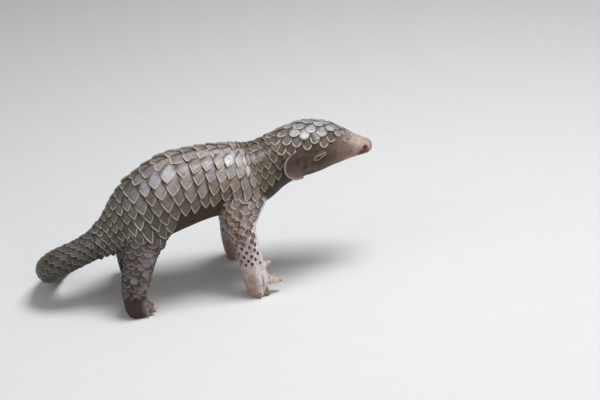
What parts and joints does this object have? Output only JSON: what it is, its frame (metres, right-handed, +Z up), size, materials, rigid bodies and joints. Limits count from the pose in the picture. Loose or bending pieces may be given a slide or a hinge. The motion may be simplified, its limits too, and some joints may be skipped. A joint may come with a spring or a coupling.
{
  "type": "pangolin pup model",
  "caption": "Still, life-size model of a young pangolin standing with its head stretched forward and its tail curled to its left on the floor; overlapping scales, ears, eyes and claws.",
  "frame": {"origin": "middle of the bounding box, on the floor under the soles of the feet", "axes": "+X the way the animal faces, +Y towards its left side, +Z up; life size"},
  "size_m": [0.2477, 0.1165, 0.1122],
  "materials": {
    "body_scales": "horn scales, grey-brown with paler edges, satin",
    "tail_scales": "horn scales, dark grey with paler edges, satin",
    "face": "bare skin, pinkish grey-brown, soft",
    "skin": "bare skin with small scales, pale pink, soft",
    "claw": "claw horn, pinkish cream, smooth",
    "eye": "wet, nearly black"
  },
  "bodies": {
    "root": {"torso": "body_scales", "neck": "body_scales", "tail_root": "tail_scales", "tail_middle": "tail_scales", "tail_tip": "tail_scales", "head": "face", "eye_right": "eye", "eye_left": "eye", "ear_right": "skin", "ear_left": "skin", "upper_arm_right": "skin", "forearm_right": "skin", "forepaw_right": "skin", "forepaw_right_claw_1": "claw", "forepaw_right_claw_2": "claw", "forepaw_right_claw_3": "claw", "forepaw_right_claw_4": "claw", "forepaw_right_claw_5": "claw", "thigh_right": "skin", "shank_right": "skin", "hind_foot_right": "skin", "hind_foot_right_claw_1": "claw", "hind_foot_right_claw_2": "claw", "hind_foot_right_claw_3": "claw", "hind_foot_right_claw_4": "claw", "hind_foot_right_claw_5": "claw", "upper_arm_left": "skin", "forearm_left": "skin", "forepaw_left": "skin", "forepaw_left_claw_1": "claw", "forepaw_left_claw_2": "claw", "forepaw_left_claw_3": "claw", "forepaw_left_claw_4": "claw", "forepaw_left_claw_5": "claw", "thigh_left": "skin", "shank_left": "skin", "hind_foot_left": "skin", "hind_foot_left_claw_1": "claw", "hind_foot_left_claw_2": "claw", "hind_foot_left_claw_3": "claw", "hind_foot_left_claw_4": "claw", "hind_foot_left_claw_5": "claw"}
  },
  "joints": []
}
